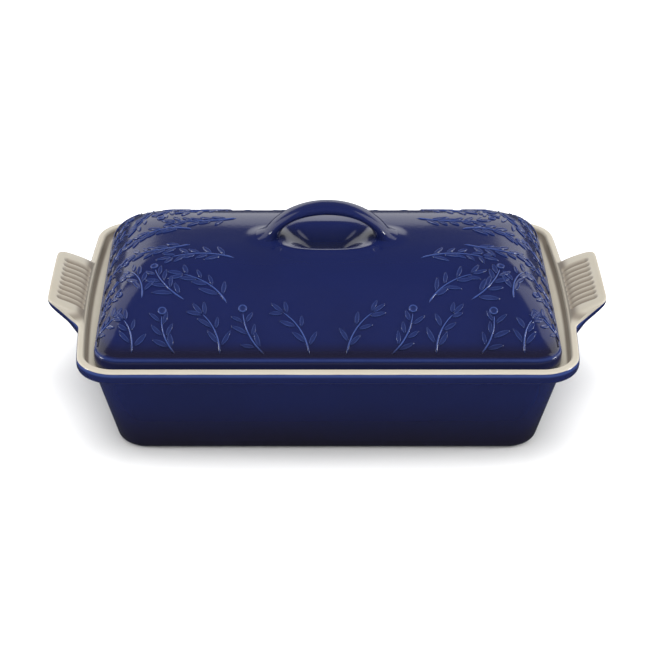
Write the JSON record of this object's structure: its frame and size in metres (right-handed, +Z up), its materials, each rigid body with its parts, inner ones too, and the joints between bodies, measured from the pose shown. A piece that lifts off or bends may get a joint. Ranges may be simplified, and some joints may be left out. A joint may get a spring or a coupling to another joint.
{
  "type": "covered casserole dish",
  "caption": "Rectangular stoneware casserole: tapered dish with raised grooved end tabs and a loose domed lid with a loop handle, resting on a ledge inside the rim.",
  "frame": {"origin": "centre of the dish's foot, on the surface it stands on", "axes": "+X along the length towards one end tab, +Y towards the back long side, +Z up"},
  "size_m": [0.375, 0.2286, 0.1385],
  "materials": {
    "dish_glaze": "gloss",
    "lid_glaze": "gloss"
  },
  "bodies": {
    "dish": {"dish": "dish_glaze"},
    "lid": {"lid": "lid_glaze"}
  },
  "joints": [
    {"name": "lid_lift", "type": "slide", "parent": "dish", "child": "lid", "axis": [0, 0, 1], "range_m": [0, 0.18]}
  ]
}
